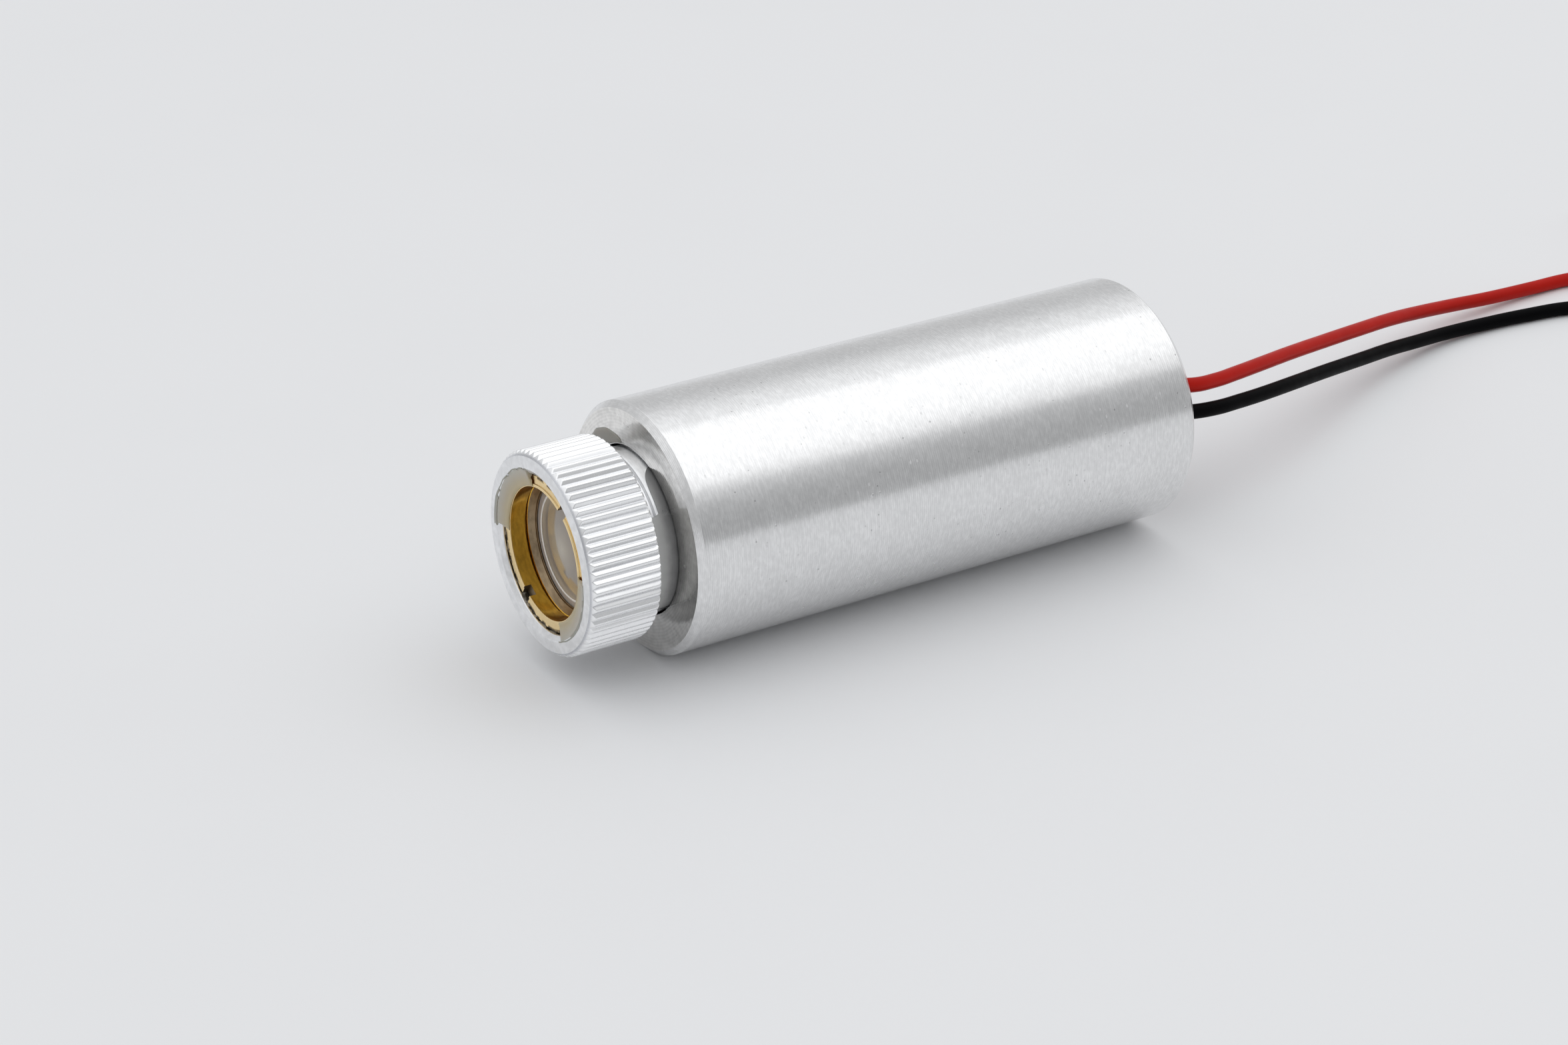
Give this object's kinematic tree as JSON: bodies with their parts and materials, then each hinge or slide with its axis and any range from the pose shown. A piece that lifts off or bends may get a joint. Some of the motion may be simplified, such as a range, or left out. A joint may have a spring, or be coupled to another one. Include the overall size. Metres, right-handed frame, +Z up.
{
  "type": "laser collimator module",
  "caption": "Round aluminium laser collimator module with a knurled focus ring and brass-mounted lens in front and a red and a black lead behind.",
  "frame": {"origin": "under the middle of the module, leads left out, on the surface that the tube lies on", "axes": "+Y along the optical axis towards the leads, so the beam leaves towards -Y; +Z up from the surface"},
  "size_m": [0.0317, 0.1167, 0.016],
  "materials": {
    "turned_aluminium": "bright, fine turned, with feed marks and small scratches",
    "knurled_aluminium": "bright, straight knurl",
    "holder_aluminium": "satin, turned",
    "brass": "turned, polished",
    "lens": "polished, coated",
    "window": "polished",
    "glue": "translucent, satin",
    "rubber": "matt",
    "spring_steel": "satin wire",
    "can_steel": "satin, nickel plated",
    "gold_plate": "gold plated",
    "laminate": "green solder mask",
    "black_moulding": "moulded, matt",
    "ceramic": "fired, matt",
    "trimmer_white": "moulded, matt",
    "tinned_metal": "tinned, satin",
    "epoxy": "cast, slightly glossy",
    "red_pvc": "extruded, satin",
    "black_pvc": "extruded, satin",
    "nylon": "moulded, satin"
  },
  "bodies": {
    "housing": {"body_tube": "turned_aluminium", "diode_holder": "holder_aluminium", "diode_clamp_ring": "brass", "diode_window": "window", "face_sealant": "glue", "anti_backlash_spring": "spring_steel", "diode_can": "can_steel", "diode_base": "gold_plate", "diode_chip_mount": "gold_plate", "diode_pin_anode": "gold_plate", "diode_pin_cathode": "gold_plate", "diode_pin_monitor": "gold_plate", "driver_board": "laminate", "driver_chip": "black_moulding", "pass_transistor": "black_moulding", "sense_resistor": "black_moulding", "filter_capacitor": "black_moulding", "protection_diode": "black_moulding", "bypass_capacitor": "ceramic", "trimmer_body": "trimmer_white", "solder_joint_positive": "tinned_metal", "solder_joint_negative": "tinned_metal", "red_lead_bare_end": "tinned_metal", "black_lead_bare_end": "tinned_metal", "rear_seal": "epoxy", "red_lead": "red_pvc", "red_lead_coil": "red_pvc", "red_lead_inner": "red_pvc", "black_lead": "black_pvc", "black_lead_coil": "black_pvc", "black_lead_inner": "black_pvc", "red_lead_tie": "nylon", "black_lead_tie": "nylon"},
    "spring_seat": {"spring_seat_washer": "spring_steel"},
    "focus": {"focus_ring": "knurled_aluminium", "lens_retaining_ring": "brass", "lens_cell": "brass", "collimating_lens": "lens", "lens_cushion_ring": "rubber", "retainer_glue_upper": "glue", "retainer_glue_lower": "glue", "stem_sealant": "glue"},
    "trimmer": {"trimmer_rotor": "tinned_metal"}
  },
  "joints": [
    {"name": "focus_travel", "type": "slide", "parent": "housing", "child": "spring_seat", "axis": [0, 1, 0], "range_m": [-0.001, 0.0014], "deforming": ["anti_backlash_spring"]},
    {"name": "focus_turn", "type": "hinge", "parent": "spring_seat", "child": "focus", "pos_m": [0, -0.01523, 0.008], "axis": [0, 1, 0], "range_deg": [-727, 1015]},
    {"name": "trimmer_turn", "type": "hinge", "parent": "housing", "child": "trimmer", "pos_m": [0.0027, 0.01117, 0.008], "axis": [0, 0, 1], "range_deg": [-135, 135]}
  ],
  "couplings": [
    {"joint": "focus_turn", "follows": "focus_travel", "rad_per_m": 12566}
  ]
}
